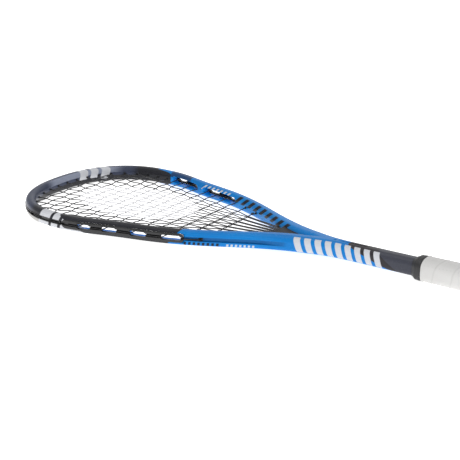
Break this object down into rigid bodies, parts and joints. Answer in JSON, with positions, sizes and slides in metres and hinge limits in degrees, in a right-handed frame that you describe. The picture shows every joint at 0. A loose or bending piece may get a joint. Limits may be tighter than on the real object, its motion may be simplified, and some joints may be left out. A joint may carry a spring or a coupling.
{
  "type": "squash racket",
  "caption": "Strung squash racket with a teardrop head, ported side inserts, fan-pattern mains, slim shaft, rubber collar and wrapped grip.",
  "frame": {"origin": "middle of the flat butt end face of the handle", "axes": "+X from the butt to the tip of the head, +Y to the left, +Z square to the string bed"},
  "size_m": [0.686, 0.2116, 0.029],
  "materials": {
    "frame_paint": "graphite laminate under gloss blue and near-black lacquer",
    "dark_plastic": "moulded nylon, satin",
    "black_plastic": "moulded nylon, fine satin grain",
    "string_polymer": "extruded nylon string with a white stencil",
    "handle_foam": "rigid foam skin",
    "plug_foam": "closed-cell foam",
    "grip_polymer": "tacky perforated wrap, satin",
    "cap_plastic": "moulded nylon, satin",
    "badge_vinyl": "domed vinyl, gloss",
    "staple_steel": "zinc-plated wire",
    "tape_vinyl": "vinyl tape",
    "collar_rubber": "moulded rubber, satin"
  },
  "bodies": {
    "root": {"frame": "frame_paint", "throat_yoke": "dark_plastic", "head_bumper_strip": "black_plastic", "left_side_grommet_strip": "black_plastic", "right_side_grommet_strip": "black_plastic", "left_port_insert": "black_plastic", "right_port_insert": "black_plastic", "arm_grommets": "black_plastic", "main_string": "string_polymer", "cross_string": "string_polymer", "handle_pallet": "handle_foam", "shaft_plug": "plug_foam", "grip_wrap": "grip_polymer", "butt_cap": "cap_plastic", "butt_badge": "badge_vinyl", "butt_cap_staples": "staple_steel", "grip_staple": "staple_steel", "finishing_tape": "tape_vinyl", "rubber_collar": "collar_rubber"}
  },
  "joints": []
}
